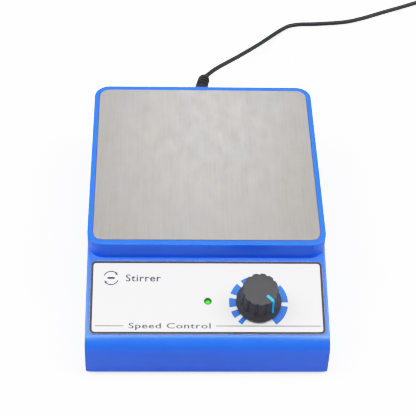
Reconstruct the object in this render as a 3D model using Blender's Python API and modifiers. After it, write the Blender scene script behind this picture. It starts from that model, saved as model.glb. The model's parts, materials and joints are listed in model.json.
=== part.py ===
"""A small magnetic stirrer, built as the separate pieces it comes apart into.

Everything hangs from the empty "bench", whose plane Z = 0 is the bench top. The empty sits below
the world's origin, so that the origin is the centre of the work plate's top face, on the stirring
axis. +Z is up and the control panel faces -Y. Lengths are in metres.
"""

import math

import bmesh
import bpy
from mathutils import Matrix, Vector

MM = 0.001
GAP = 0.3 * MM  # clearance between neighbouring pieces

# Case
DECK = 160 * MM  # the deck is square, and the whole case is as wide
DECK_CORNER = 11 * MM
DECK_EDGE = 2.4 * MM
CASE_EDGE = 1.2 * MM
SHELL_FOOT = 3.0 * MM  # height of the shell's lower rim above the bench
DECK_TOP = SHELL_FOOT + 54.8 * MM
WALL = 2.5 * MM
PANEL_HEAD = DECK_TOP - 12.7 * MM  # height at which the panel meets the deck's front wall
PANEL_SLOPE = math.radians(15.2)
FRONT_REACH = 142.5 * MM  # from the stirring axis to the top of the front face
FRONT_LEAN = 0.8 * MM  # the foot of the front face stands this much further forward
NOSE_RADIUS = 10.8 * MM

# Work plate, held down by a frame of foam tape
PLATE_SIZE = (152.5 * MM, 151.5 * MM)
PLATE_CORNER = 7.4 * MM
PLATE_THICKNESS = 1.2 * MM
PLATE_PROUD = 0.3 * MM
TAPE_THICKNESS = 0.5 * MM
TAPE_WIDTH = 11 * MM
OVERALL_HEIGHT = DECK_TOP + PLATE_PROUD
PLATE_UNDERSIDE = OVERALL_HEIGHT - PLATE_THICKNESS
POCKET_FLOOR = PLATE_UNDERSIDE - TAPE_THICKNESS - 2 * GAP
CEILING = POCKET_FLOOR - 2.0 * MM  # underside of the deck

# Bottom cover
COVER_THICKNESS = 2.5 * MM
COVER_TOP = SHELL_FOOT + COVER_THICKNESS
COVER_FRONT = FRONT_REACH - WALL - GAP
COVER_SCREWS = [(x * MM, y * MM) for x in (-70, 70) for y in (-132, 68)]
COVER_BOSS_RADIUS = 4.5 * MM
COVER_BOSS_TOP = 24 * MM
PAD_HEIGHT = 2 * MM
FEET = {
    "foot_front_left": (-60 * MM, -120 * MM),
    "foot_front_right": (60 * MM, -120 * MM),
    "foot_rear_left": (-60 * MM, 56 * MM),
    "foot_rear_right": (60 * MM, 56 * MM),
}
FOOT_RADIUS = 7 * MM
FOOT_RECESS = 1 * MM

# Control panel: places are (x, distance down the slope from the deck's front wall)
LABEL_SIZE = (154.2 * MM, 53.0 * MM)
LABEL_CORNER = 3.5 * MM
LABEL_MIDDLE = 29.3 * MM
LABEL_TOP = 0.3 * MM  # heights on the panel are measured out from its surface
LABEL_UNDERSIDE = -0.2 * MM
LED_SPOT = (0.3 * MM, 32.2 * MM)
LED_RADIUS = 1.95 * MM
LED_SLEEVE = 2.9 * MM  # outer radius of the sleeve round the lamp
LED_WINDOW = 2.75 * MM  # radius of the hole in the label
KNOB_SPOT = (33.7 * MM, 33.0 * MM)
POINTER_ANGLE = math.radians(-46)  # where the knob points at rest, from +X round the panel

# Speed knob and the potentiometer under it
KNOB_FOOT = 1.2 * MM
KNOB_TOP = 20.4 * MM
KNOB_SIDE = ((11.9 * MM, KNOB_TOP), (12.4 * MM, 7 * MM))  # the fluted side, as (radius, height)
KNOB_SKIRT = 15.0 * MM
FLUTES = 13  # the pointer fills one of them
FLUTE_RADIUS = 0.9 * MM
FLUTE_FOOT = 6.2 * MM
POINTER_WIDTH = 1.8 * MM
POINTER_START = 6 * MM
POINTER_END = 6 * MM
SHAFT_RADIUS = 3.0 * MM
SHAFT_TOP = 16 * MM
BUSHING_RADIUS = 3.5 * MM
POT_RADIUS = 8.2 * MM
POT_DEPTH = 10.8 * MM

# Motor, hung from the deck by a steel bracket
BRACKET = 80 * MM
BRACKET_LOW = 34.5 * MM
BRACKET_HIGH = 36 * MM
BRACKET_SCREWS = [(x * MM, y * MM) for x in (-33, 33) for y in (-33, 33)]
MOTOR_SCREWS = [(-12.5 * MM, 0), (12.5 * MM, 0)]
MOTOR_RADIUS = 18.5 * MM
MOTOR_LOW = 12.2 * MM
MOTOR_HIGH = BRACKET_LOW - GAP
MOTOR_SHAFT = 2.0 * MM

# Magnet carrier
CARRIER_LENGTH = 58 * MM
CARRIER_WIDTH = 20 * MM
CARRIER_LOW = 42.5 * MM
CARRIER_HIGH = 50.5 * MM
HUB_RADIUS = 6 * MM
HUB_LOW = 40.4 * MM
MAGNET_RADIUS = 7.5 * MM
MAGNET_THICKNESS = 5 * MM
MAGNET_OFFSET = 19 * MM
MAGNET_LOW = 46.5 * MM

# Power inlet, plug and cord
JACK_SPOT = (-0.7 * MM, 33 * MM)  # x and height of the inlet in the rear wall
NECK_RADIUS = 4.0 * MM
SOCKET_RADIUS = 3.05 * MM
BARREL_RADIUS = 2.75 * MM
HOOD_START = 3.6 * MM
HOOD_LENGTH = 37.4 * MM
HOOD_RADIUS = (5.3 * MM, 4.4 * MM)
HOOD_GROOVES = (25.2 * MM, 28.2 * MM, 31.2 * MM)  # reach of each ring groove
CORD_RADIUS = 1.8 * MM

# Control board
BOARD_LOW = 13 * MM
BOARD_HIGH = 14.6 * MM
BOARD_LEFT, BOARD_RIGHT = -64 * MM, -8 * MM
BOARD_FRONT, BOARD_REAR = -130 * MM, -90 * MM
BOARD_POSTS = [(x * MM, y * MM) for x in (-60, -12) for y in (-126, -94)]
ON_BOARD = BOARD_HIGH + GAP

# Turns that lay a flat outline drawn in (x, y) into another plane
SIDEWAYS = (math.pi / 2, 0, math.pi / 2)  # drawn in (y, z), thick along X
UPRIGHT = (math.pi / 2, 0, 0)  # drawn in (x, z), thick along Y

# Finish: colour, roughness, metallic
FINISHES = {
    "blue_plastic": ((0.045, 0.20, 0.80), 0.38, 0.0),
    "steel_plate": ((0.62, 0.60, 0.58), 0.35, 1.0),
    "label_film": ((0.90, 0.90, 0.91), 0.40, 0.0),
    "black_plastic": ((0.025, 0.025, 0.028), 0.45, 0.0),
    "knob_plastic": ((0.06, 0.06, 0.065), 0.50, 0.0),
    "pointer_blue": ((0.08, 0.45, 0.95), 0.40, 0.0),
    "led_green": ((0.02, 0.85, 0.02), 0.20, 0.0),
    "rubber": ((0.03, 0.03, 0.03), 0.80, 0.0),
    "foam_tape": ((0.75, 0.75, 0.72), 0.90, 0.0),
    "cord_rubber": ((0.030, 0.032, 0.036), 0.55, 0.0),
    "zinc_steel": ((0.60, 0.61, 0.62), 0.35, 1.0),
    "brass": ((0.75, 0.58, 0.25), 0.35, 1.0),
    "magnet_nickel": ((0.70, 0.69, 0.66), 0.20, 1.0),
    "aluminium": ((0.70, 0.71, 0.72), 0.40, 1.0),
    "board_green": ((0.03, 0.22, 0.09), 0.50, 0.0),
    "wire_red": ((0.60, 0.03, 0.03), 0.50, 0.0),
    "wire_black": ((0.02, 0.02, 0.02), 0.50, 0.0),
    "white_plastic": ((0.85, 0.85, 0.83), 0.45, 0.0),
    "grey_plastic": ((0.16, 0.17, 0.16), 0.45, 0.0),
}

PARTS = "magnetic_stirrer"
CUTTERS = "cutters"


# ---------------------------------------------------------------- scene and placing


def clear_scene():
    for obj in list(bpy.data.objects):
        bpy.data.objects.remove(obj)
    for name in (PARTS, CUTTERS):
        collection = bpy.data.collections.new(name)
        bpy.context.scene.collection.children.link(collection)


def empty(name, at=(0, 0, 0), turn=(0, 0, 0), parent=None):
    """A frame that pieces are placed in."""
    frame = bpy.data.objects.new(name, None)
    frame.location = at
    frame.rotation_euler = turn
    frame.parent = parent
    bpy.data.collections[PARTS].objects.link(frame)
    return frame


def place(name, data, at=(0, 0, 0), turn=(0, 0, 0), parent=None):
    obj = bpy.data.objects.new(name, data)
    obj.location = at
    obj.rotation_euler = turn
    obj.parent = parent or bpy.data.objects["bench"]
    bpy.data.collections[PARTS].objects.link(obj)
    return obj


def finish(obj, slot):
    """Gives the object its material, made the first time that it is asked for."""
    material = bpy.data.materials.get(slot)
    if material is None:
        colour, roughness, metallic = FINISHES[slot]
        material = bpy.data.materials.new(slot)
        material.use_nodes = True
        surface = material.node_tree.nodes["Principled BSDF"]
        surface.inputs["Base Color"].default_value = (*colour, 1)
        surface.inputs["Roughness"].default_value = roughness
        surface.inputs["Metallic"].default_value = metallic
    obj.data.materials.clear()
    obj.data.materials.append(material)
    return obj


# ---------------------------------------------------------------- shapes


def smooth(mesh):
    mesh.shade_smooth()
    mesh.set_sharp_from_angle(angle=math.radians(35))
    return mesh


def mesh_of(name, bm):
    mesh = bpy.data.meshes.new(name)
    bm.to_mesh(mesh)
    bm.free()
    return smooth(mesh)


def box(name, low, high, **where):
    """A block between two corners."""
    low, high = Vector(low), Vector(high)
    bm = bmesh.new()
    bmesh.ops.create_cube(bm, size=1)
    bmesh.ops.scale(bm, vec=high - low, verts=bm.verts)
    bmesh.ops.translate(bm, vec=(low + high) / 2, verts=bm.verts)
    return place(name, mesh_of(name, bm), **where)


def posts(name, spots, radius, low, high, sides=16, top_radius=None, **where):
    """Round bars along Z, one on each (x, y) spot."""
    bm = bmesh.new()
    for x, y in spots:
        bmesh.ops.create_cone(
            bm,
            cap_ends=True,
            segments=sides,
            radius1=radius,
            radius2=top_radius or radius,
            depth=high - low,
            matrix=Matrix.Translation((x, y, (low + high) / 2)),
        )
    return place(name, mesh_of(name, bm), **where)


def cylinder(name, radius, low, high, **options):
    return posts(name, [(0, 0)], radius, low, high, **options)


def turned(name, profile, steps=32, closed=False, **where):
    """A solid of revolution about Z. Its (radius, height) profile runs down its outer side."""
    bm = bmesh.new()
    points = [bm.verts.new((radius, 0, height)) for radius, height in profile]
    for start, end in zip(points, points[1:]):
        bm.edges.new((start, end))
    if closed:
        bm.edges.new((points[-1], points[0]))
    mesh = bpy.data.meshes.new(name)
    bm.to_mesh(mesh)
    bm.free()
    obj = place(name, mesh, **where)
    screw = obj.modifiers.new("Turn", "SCREW")
    screw.steps = steps
    screw.render_steps = steps
    screw.use_merge_vertices = True
    screw.merge_threshold = 0.01 * MM
    screw.use_smooth_shade = True
    return obj


def tube(name, outer, inner, low, high, steps=32, **where):
    profile = [(outer, high), (outer, low), (inner, low), (inner, high)]
    return turned(name, profile, steps, closed=True, **where)


def circle(x, y, radius, sides=24):
    turns = [2 * math.pi * i / sides for i in range(sides)]
    return [(x + radius * math.cos(a), y + radius * math.sin(a)) for a in turns]


def rounded(corners, steps=5):
    """The outline through (x, y, radius) corners, each rounded with an arc of its radius."""
    points = []
    for i, (x, y, radius) in enumerate(corners):
        corner = Vector((x, y))
        if radius == 0:
            points.append(corner)
            continue
        before = (Vector(corners[i - 1][:2]) - corner).normalized()
        after = (Vector(corners[(i + 1) % len(corners)][:2]) - corner).normalized()
        half = before.angle(after) / 2
        centre = corner + (before + after).normalized() * radius / math.sin(half)
        spoke = corner + before * radius / math.tan(half) - centre
        turn = math.copysign(math.pi - 2 * half, after.cross(before))
        points += [centre + Matrix.Rotation(turn * k / steps, 2) @ spoke for k in range(steps + 1)]
    return [tuple(point) for point in points]


def rectangle(width, depth, radius=0.0, middle=(0, 0), steps=5):
    x, y = middle
    right, back = width / 2, depth / 2
    sides = ((right, back), (-right, back), (-right, -back), (right, -back))
    return rounded([(x + dx, y + dy, radius) for dx, dy in sides], steps)


def flat(name, loops, low, high, **where):
    """A flat piece from `low` to `high` along its Z. The first loop is its outline, others are holes."""
    curve = bpy.data.curves.new(name, "CURVE")
    curve.dimensions = "2D"
    curve.fill_mode = "BOTH"
    curve.extrude = (high - low) / 2
    for loop in loops:
        spline = curve.splines.new("POLY")
        spline.points.add(len(loop) - 1)
        spline.use_cyclic_u = True
        for point, (x, y) in zip(spline.points, loop):
            point.co = (x, y, 0, 1)
    return place(name, smooth(welded(name, curve, (low + high) / 2)), **where)


def welded(name, curve, lift):
    """The curve as a closed mesh, lifted along Z."""
    guide = bpy.data.objects.new(name + "_guide", curve)
    bpy.context.scene.collection.objects.link(guide)
    evaluated = guide.evaluated_get(bpy.context.evaluated_depsgraph_get())
    mesh = bpy.data.meshes.new_from_object(evaluated)
    bpy.data.objects.remove(guide)
    bpy.data.curves.remove(curve)
    bm = bmesh.new()
    bm.from_mesh(mesh)
    bmesh.ops.remove_doubles(bm, verts=bm.verts, dist=0.001 * MM)
    bmesh.ops.recalc_face_normals(bm, faces=bm.faces)
    bmesh.ops.translate(bm, vec=(0, 0, lift), verts=bm.verts)
    bm.to_mesh(mesh)
    bm.free()
    mesh.name = name
    return mesh


def cable(name, points, radius, swell=None, resolution=1, **where):
    """A round cable through the points. `swell` scales its radius at each of them."""
    curve = bpy.data.curves.new(name, "CURVE")
    curve.dimensions = "3D"
    curve.bevel_depth = radius
    curve.bevel_resolution = resolution
    curve.use_fill_caps = True
    spline = curve.splines.new("POLY")
    spline.points.add(len(points) - 1)
    for i, point in enumerate(points):
        spline.points[i].co = (*point, 1)
        spline.points[i].radius = swell[i] if swell else 1
    spline.use_smooth = True
    return place(name, curve, **where)


def flowing(knots, steps):
    """Points of a smooth curve that passes through every knot."""
    knots = [Vector(knot) for knot in knots]
    ends = [2 * knots[0] - knots[1], *knots, 2 * knots[-1] - knots[-2]]
    points = []
    for a, b, c, d in zip(ends, ends[1:], ends[2:], ends[3:]):
        for k in range(steps):
            t = k / steps
            bend = (2 * a - 5 * b + 4 * c - d) * t * t + (3 * b - a - 3 * c + d) * t**3
            points.append(b + ((c - a) * t + bend) / 2)
    return [*points, knots[-1]]


def bevel(obj, width, segments=2):
    """Rounds the object's sharp edges."""
    edge = obj.modifiers.new("Edge", "BEVEL")
    edge.width = width
    edge.segments = segments
    edge.limit_method = "ANGLE"
    edge.angle_limit = math.radians(50)
    return obj


def combine(body, tool, operation):
    """Adds or takes away the tool, which is then put with the cutters."""
    step = body.modifiers.new(tool.name, "BOOLEAN")
    step.operation = operation
    step.solver = "EXACT"
    step.object = tool
    tool.hide_render = True
    tool.display_type = "WIRE"
    bpy.data.collections[PARTS].objects.unlink(tool)
    bpy.data.collections[CUTTERS].objects.link(tool)


def cut(body, tool):
    combine(body, tool, "DIFFERENCE")


def join(body, tool):
    combine(body, tool, "UNION")


# ---------------------------------------------------------------- case


def panel_height(y, inset=0.0):
    """Height of the panel's plane, moved inwards by the inset."""
    return PANEL_HEAD + (y + DECK / 2) * math.tan(PANEL_SLOPE) - inset / math.cos(PANEL_SLOPE)


def wedge_outline(inset):
    """Side view (y, z) of the case in front of and under the deck, moved inwards by the inset."""
    rear = -DECK / 2 + 30 * MM
    foot = -5 * MM
    front = -FRONT_REACH + inset
    return rounded(
        [
            (rear, panel_height(rear, inset), 0),
            (front, panel_height(front, inset), NOSE_RADIUS - inset),
            (front - FRONT_LEAN, foot, 0),
            (rear, foot, 0),
        ],
        steps=8,
    )


def case_blank(shell):
    """Joins the wedge to the deck block, trims both at the rim and hollows them."""
    below = -10 * MM
    side = DECK / 2
    wedge = flat("wedge", [wedge_outline(0)], -side, side, turn=SIDEWAYS)
    join(shell, bevel(wedge, CASE_EDGE))
    reach = 2 * DECK
    cut(shell, box("rim_trim", (-reach, -reach, below), (reach, reach, SHELL_FOOT)))
    inside = DECK - 2 * WALL
    hollow = rectangle(inside, inside, DECK_CORNER - WALL)
    cut(shell, flat("deck_hollow", [hollow], below, CEILING))
    cut(shell, flat("wedge_hollow", [wedge_outline(WALL)], -inside / 2, inside / 2, turn=SIDEWAYS))


def case_bosses(shell):
    """Posts that take the cover's screws, each tied to the side wall, and the bracket's screws."""
    low = COVER_TOP + PAD_HEIGHT + GAP
    join(shell, posts("cover_bosses", COVER_SCREWS, COVER_BOSS_RADIUS, low, COVER_BOSS_TOP))
    for x, y in COVER_SCREWS:
        ends = sorted((x, math.copysign(DECK / 2 - WALL / 2, x)))
        low_corner = (ends[0], y - MM, low + MM)
        join(shell, box("boss_rib", low_corner, (ends[1], y + MM, COVER_BOSS_TOP - MM)))
    join(shell, posts("bracket_bosses", BRACKET_SCREWS, 4 * MM, BRACKET_HIGH + GAP, CEILING + MM))
    pilot = 1.8 * MM
    cut(shell, posts("cover_pilots", COVER_SCREWS, pilot, low - MM, low + 9 * MM, sides=12))
    bracket_pilot = (BRACKET_HIGH, BRACKET_HIGH + 9 * MM)
    cut(shell, posts("bracket_pilots", BRACKET_SCREWS, pilot, *bracket_pilot, sides=12))


def panel_cutouts(shell, panel):
    """The label's recess and the holes for the knob's bushing and the lamp."""
    width, depth = LABEL_SIZE
    recess = rectangle(width + 2 * GAP, depth + 2 * GAP, LABEL_CORNER + GAP, (0, -LABEL_MIDDLE))
    floor = LABEL_UNDERSIDE - GAP
    above = 2 * MM
    through = -5 * MM
    cut(shell, flat("label_recess", [recess], floor, above, parent=panel))
    bushing_at = (KNOB_SPOT[0], -KNOB_SPOT[1])
    lamp_at = (LED_SPOT[0], -LED_SPOT[1])
    cut(shell, posts("bushing_hole", [bushing_at], BUSHING_RADIUS + GAP, through, above, parent=panel))
    cut(shell, posts("lamp_hole", [lamp_at], LED_SLEEVE + GAP, through, above, parent=panel))


def top_shell(panel, inlet):
    block = rectangle(DECK, DECK, DECK_CORNER, steps=6)
    shell = bevel(flat("top_shell", [block], -5 * MM, DECK_TOP), DECK_EDGE, 3)
    case_blank(shell)
    width, depth = PLATE_SIZE
    pocket = rectangle(width + 2 * GAP, depth + 2 * GAP, PLATE_CORNER + GAP)
    cut(shell, flat("plate_pocket", [pocket], POCKET_FLOOR, DECK_TOP + 5 * MM))
    case_bosses(shell)
    panel_cutouts(shell, panel)
    cut(shell, cylinder("inlet_hole", NECK_RADIUS + GAP, -5 * MM, 5 * MM, parent=inlet))
    finish(shell, "blue_plastic")


def work_plate():
    width, depth = PLATE_SIZE
    outline = rectangle(width, depth, PLATE_CORNER)
    plate = flat("work_plate", [outline], PLATE_UNDERSIDE, OVERALL_HEIGHT)
    finish(bevel(plate, 0.25 * MM, 1), "steel_plate")
    outer = rectangle(width - 8 * MM, depth - 8 * MM, 4 * MM)
    inner = rectangle(width - 8 * MM - 2 * TAPE_WIDTH, depth - 8 * MM - 2 * TAPE_WIDTH, 4 * MM)
    low = POCKET_FLOOR + GAP
    finish(flat("plate_tape", [outer, inner], low, low + TAPE_THICKNESS), "foam_tape")


def vent_slots():
    """Slots under the motor, shorter towards the sides to follow its round can."""
    spacing = 8 * MM
    reach = 20 * MM
    slots = []
    for n in range(-2, 3):
        x = n * spacing
        length = 2 * math.sqrt(reach**2 - x**2) - 0.1 * n * MM
        slots.append(rectangle(3 * MM, length, 1.3 * MM, (x, 0), 2))
    return slots


def bottom_cover():
    """The plate that closes the case, with pads over its screws and posts for the board."""
    side = DECK / 2 - WALL - GAP
    rear_corner = DECK_CORNER - WALL - GAP
    corners = [(side, side, rear_corner), (-side, side, rear_corner)]
    corners += [(-side, -COVER_FRONT, MM), (side, -COVER_FRONT, MM)]
    cover = flat("bottom_cover", [rounded(corners), *vent_slots()], SHELL_FOOT, COVER_TOP)
    overlap = COVER_TOP - MM
    join(cover, posts("screw_pads", COVER_SCREWS, 5 * MM, overlap, COVER_TOP + PAD_HEIGHT))
    join(cover, posts("board_posts", BOARD_POSTS, 3 * MM, overlap, BOARD_LOW - GAP, sides=16))
    below = SHELL_FOOT - MM
    cut(cover, posts("counterbores", COVER_SCREWS, 3.2 * MM, below, SHELL_FOOT + 2.4 * MM))
    cut(cover, posts("screw_holes", COVER_SCREWS, 1.8 * MM, below, COVER_BOSS_TOP, sides=12))
    pegs = (BOARD_LOW - 6 * MM, BOARD_LOW + MM)
    cut(cover, posts("board_pilots", BOARD_POSTS, 1.55 * MM, *pegs, sides=12))
    recess = (below, SHELL_FOOT + FOOT_RECESS)
    cut(cover, posts("foot_recesses", list(FEET.values()), FOOT_RADIUS + GAP, *recess))
    finish(cover, "black_plastic")


def feet():
    top = SHELL_FOOT + FOOT_RECESS - GAP
    for name, (x, y) in FEET.items():
        at = (x, y, 0)
        foot = cylinder(name, FOOT_RADIUS - 0.6 * MM, 0, top, sides=24, top_radius=FOOT_RADIUS, at=at)
        finish(foot, "rubber")


# ---------------------------------------------------------------- fasteners


def screw_mesh(name, radius, length, head_radius, head_height):
    """A pan-head screw with a cross recess. Its head sits on Z = 0 and its shank points down."""
    tip = 0.4 * radius
    profile = [(0, head_height), (head_radius * 0.7, head_height), (head_radius, head_height * 0.5)]
    profile += [(head_radius, 0), (radius, 0), (radius, tip - length), (tip, -length), (0, -length)]
    screw = turned(name, profile, steps=12)
    depth = head_height * 0.55
    half_slot = head_radius * 0.16
    half_length = head_radius * 0.55
    for long_x, long_y in ((half_length, half_slot), (half_slot, half_length)):
        high = (long_x, long_y, head_height + MM)
        cut(screw, box(name + "_slot", (-long_x, -long_y, head_height - depth), high))
    evaluated = screw.evaluated_get(bpy.context.evaluated_depsgraph_get())
    mesh = bpy.data.meshes.new_from_object(evaluated)
    for tool in [screw, *[step.object for step in screw.modifiers if step.type == "BOOLEAN"]]:
        bpy.data.objects.remove(tool)
    return mesh


def screws(prefix, mesh, spots, height, turn=(0, 0, 0)):
    for number, (x, y) in enumerate(spots, start=1):
        finish(place(f"{prefix}_{number}", mesh, at=(x, y, height), turn=turn), "zinc_steel")


def all_screws():
    upside_down = (math.pi, 0, 0)
    self_tapper = screw_mesh("self_tapper", 1.5 * MM, 10 * MM, 2.8 * MM, 1.8 * MM)
    machine_screw = screw_mesh("machine_screw", 1.25 * MM, 5 * MM, 2.4 * MM, 1.6 * MM)
    screws("cover_screw", self_tapper, COVER_SCREWS, SHELL_FOOT + 2.1 * MM, upside_down)
    screws("bracket_screw", self_tapper, BRACKET_SCREWS, BRACKET_LOW - GAP, upside_down)
    screws("motor_screw", machine_screw, MOTOR_SCREWS, BRACKET_HIGH + GAP)
    opposite_posts = [BOARD_POSTS[0], BOARD_POSTS[3]]
    screws("board_screw", machine_screw, opposite_posts, BOARD_HIGH + GAP)


# ---------------------------------------------------------------- control panel


def front_label(panel):
    outline = rectangle(*LABEL_SIZE, LABEL_CORNER, (0, -LABEL_MIDDLE))
    knob_hole = circle(KNOB_SPOT[0], -KNOB_SPOT[1], 6.8 * MM)
    lamp_hole = circle(LED_SPOT[0], -LED_SPOT[1], LED_WINDOW)
    loops = [outline, knob_hole, lamp_hole]
    finish(flat("front_label", loops, LABEL_UNDERSIDE, LABEL_TOP, parent=panel), "label_film")


def power_lamp(lamp):
    """The lamp, set a little below the label, and the sleeve that holds it from under the panel."""
    tip = -0.7 * MM
    shoulder = tip - LED_RADIUS
    arc = [(LED_RADIUS * math.sin(a), shoulder + LED_RADIUS * math.cos(a)) for a in quarter_turn(4)]
    flange = LED_RADIUS + 0.4 * MM
    profile = [*arc, (LED_RADIUS, -6 * MM), (flange, -6 * MM), (flange, -7 * MM), (0, -7 * MM)]
    finish(turned("power_led", profile, steps=16, parent=lamp), "led_green")
    bore = LED_RADIUS + 0.15 * MM
    collar = 4.2 * MM
    top, under_panel, foot = LABEL_UNDERSIDE - GAP, -WALL - GAP, -5.7 * MM
    profile = [(LED_SLEEVE, top), (LED_SLEEVE, under_panel), (collar, under_panel)]
    profile += [(collar, foot), (bore, foot), (bore, top)]
    holder = turned("led_holder", profile, steps=24, closed=True, parent=lamp)
    finish(holder, "grey_plastic")


def quarter_turn(steps):
    return [math.pi / 2 * k / steps for k in range(steps + 1)]


def potentiometer(axis):
    """The speed control under the panel: its case and bushing, nut, washer and terminal wafer."""
    under_panel = -WALL - GAP
    bore = SHAFT_RADIUS + 0.2 * MM
    bushing_top = 4.6 * MM
    bore_end = -9.6 * MM
    profile = [(0, bore_end), (bore, bore_end), (bore, bushing_top), (BUSHING_RADIUS, bushing_top)]
    profile += [(BUSHING_RADIUS, under_panel), (POT_RADIUS, under_panel)]
    profile += [(POT_RADIUS, -POT_DEPTH), (0, -POT_DEPTH)]
    finish(turned("speed_pot_body", profile, steps=24, parent=axis), "zinc_steel")
    clear = BUSHING_RADIUS + GAP
    washer = tube("speed_pot_washer", 5.8 * MM, clear, -0.2 * MM, 0.3 * MM, 24, parent=axis)
    finish(washer, "zinc_steel")
    hexagon = circle(0, 0, 5.4 * MM, 6)
    nut = flat("speed_pot_nut", [hexagon, circle(0, 0, clear)], 0.6 * MM, 2.6 * MM, parent=axis)
    finish(nut, "zinc_steel")


def pot_wafer(axis):
    """The terminal wafer behind the control, its three lugs pointing down the slope."""
    high = -POT_DEPTH - GAP
    low = high - 1.4 * MM
    outline = rectangle(15 * MM, 20 * MM, 3 * MM, (0, -3 * MM))
    wafer = flat("speed_pot_wafer", [outline], low, high, parent=axis)
    for x in (-5 * MM, 0, 5 * MM):
        lug = ((x - 0.7 * MM, -19 * MM, low + 0.4 * MM), (x + 0.7 * MM, -12 * MM, high - 0.4 * MM))
        join(wafer, box("lug", *lug, parent=axis))
    finish(wafer, "black_plastic")


def shaft_section(grow):
    """The shaft's D-shaped section, with its flat on the +Y side."""
    radius = SHAFT_RADIUS + grow
    flat_side = 1.6 * MM + grow
    start = math.pi - math.asin(flat_side / radius)
    sweep = 2 * (math.pi - start) + math.pi
    sides = 16
    turns = [start + sweep * k / sides for k in range(sides + 1)]
    return [(radius * math.cos(a), radius * math.sin(a)) for a in turns]


def pot_shaft(axis):
    """The control's shaft, round in its bushing and D-shaped where the knob grips it."""
    shaft = cylinder("speed_pot_shaft", SHAFT_RADIUS, -9.2 * MM, 4.8 * MM, parent=axis)
    join(shaft, flat("shaft_tip", [shaft_section(0)], 4 * MM, SHAFT_TOP, parent=axis))
    finish(shaft, "aluminium")


def knob_side(height):
    """Radius of the knob's fluted side at a height."""
    (top_radius, top), (low_radius, low) = KNOB_SIDE
    return top_radius + (low_radius - top_radius) * (top - height) / (top - low)


def knob_profile():
    """Down the knob's outside, then up under its skirt."""
    chamfer = 0.4 * MM
    top = [(0, KNOB_TOP), (KNOB_SIDE[0][0] - chamfer, KNOB_TOP)]
    side = [(knob_side(h), h) for h in (KNOB_TOP - chamfer, 12 * MM, KNOB_SIDE[1][1])]
    skirt = [(12.9 * MM, 5.6 * MM), (14.0 * MM, 3.8 * MM)]
    skirt += [(KNOB_SKIRT, 2.4 * MM), (KNOB_SKIRT, KNOB_FOOT)]
    under = [(13.2 * MM, KNOB_FOOT), (11.2 * MM, 5.4 * MM), (0, 5.4 * MM)]
    return top + side + skirt + under


def flute_cutters(axis):
    """Round bars that lean along the knob's side, one at each flute but the pointer's."""
    foot = FLUTE_FOOT
    head = KNOB_TOP + 2 * MM
    stand_off = 0.1 * MM
    lean = math.atan2(knob_side(foot) - knob_side(head), head - foot)
    length = (head - foot) / math.cos(lean)
    bm = bmesh.new()
    for n in range(1, FLUTES):
        turn = Matrix.Rotation(2 * math.pi * n / FLUTES, 4, "Z")
        middle = Vector((knob_side((foot + head) / 2) + stand_off, 0, (foot + head) / 2))
        tilt = Matrix.Rotation(-lean, 4, "Y")
        bmesh.ops.create_cone(
            bm,
            cap_ends=True,
            segments=8,
            radius1=FLUTE_RADIUS,
            radius2=FLUTE_RADIUS,
            depth=length,
            matrix=turn @ Matrix.Translation(middle) @ tilt,
        )
    return place("flutes", mesh_of("flutes", bm), parent=axis)


def pointer_outline(proud, depth, spare):
    """The pointer's side view (radius, height): over the knob's top and down its side."""
    start = POINTER_START - spare
    end = POINTER_END - spare
    rim = knob_side(KNOB_TOP)
    return [
        (start, KNOB_TOP + proud),
        (start, KNOB_TOP - depth),
        (rim - depth, KNOB_TOP - depth),
        (knob_side(end) - depth, end),
        (knob_side(end) + proud, end),
        (rim + proud, KNOB_TOP + proud),
    ]


def pointer_bar(name, proud, depth, spare, axis):
    half = POINTER_WIDTH / 2 + spare
    outline = pointer_outline(proud, depth, spare)
    return flat(name, [outline], -half, half, turn=UPRIGHT, parent=axis)


def speed_knob(axis):
    knob = turned("speed_knob", knob_profile(), steps=48, parent=axis)
    cut(knob, flute_cutters(axis))
    depth = 0.9 * MM
    cut(knob, pointer_bar("pointer_groove", 2 * MM, depth + GAP, GAP, axis))
    cut(knob, flat("knob_bore", [shaft_section(GAP)], 4 * MM, SHAFT_TOP + GAP, parent=axis))
    finish(knob, "knob_plastic")
    finish(pointer_bar("knob_pointer", 0.1 * MM, depth, 0, axis), "pointer_blue")


# ---------------------------------------------------------------- motor and magnets


def motor():
    """A flat direct-current motor: its can, end cap and terminals. The shaft is separate."""
    nose = 5 * MM
    bore = MOTOR_SHAFT + GAP
    nose_top = MOTOR_HIGH + 1.5 * MM
    bore_end = MOTOR_HIGH - 8 * MM
    edge = 1 * MM
    profile = [(0, bore_end), (bore, bore_end), (bore, nose_top), (nose, nose_top)]
    profile += [(nose, MOTOR_HIGH), (MOTOR_RADIUS - edge, MOTOR_HIGH)]
    profile += [(MOTOR_RADIUS, MOTOR_HIGH - edge), (MOTOR_RADIUS, MOTOR_LOW), (0, MOTOR_LOW)]
    can = turned("motor_can", profile, steps=32)
    taps = (MOTOR_HIGH - 5 * MM, MOTOR_HIGH + MM)
    cut(can, posts("motor_taps", MOTOR_SCREWS, 1.55 * MM, *taps, sides=12))
    finish(can, "zinc_steel")
    cap_high = MOTOR_LOW - GAP
    cap_low = cap_high - 3 * MM
    finish(cylinder("motor_end_cap", 17.5 * MM, cap_low, cap_high, sides=32), "black_plastic")
    tab_low, tab_high = cap_low + 1.2 * MM, cap_low + 1.8 * MM
    near, far, half = 17.5 * MM + GAP, 23 * MM, 1.4 * MM
    left = box("motor_terminal_left", (-far, -half, tab_low), (-near, half, tab_high))
    right = box("motor_terminal_right", (near, -half, tab_low), (far, half, tab_high))
    for terminal in (left, right):
        finish(terminal, "brass")


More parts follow.
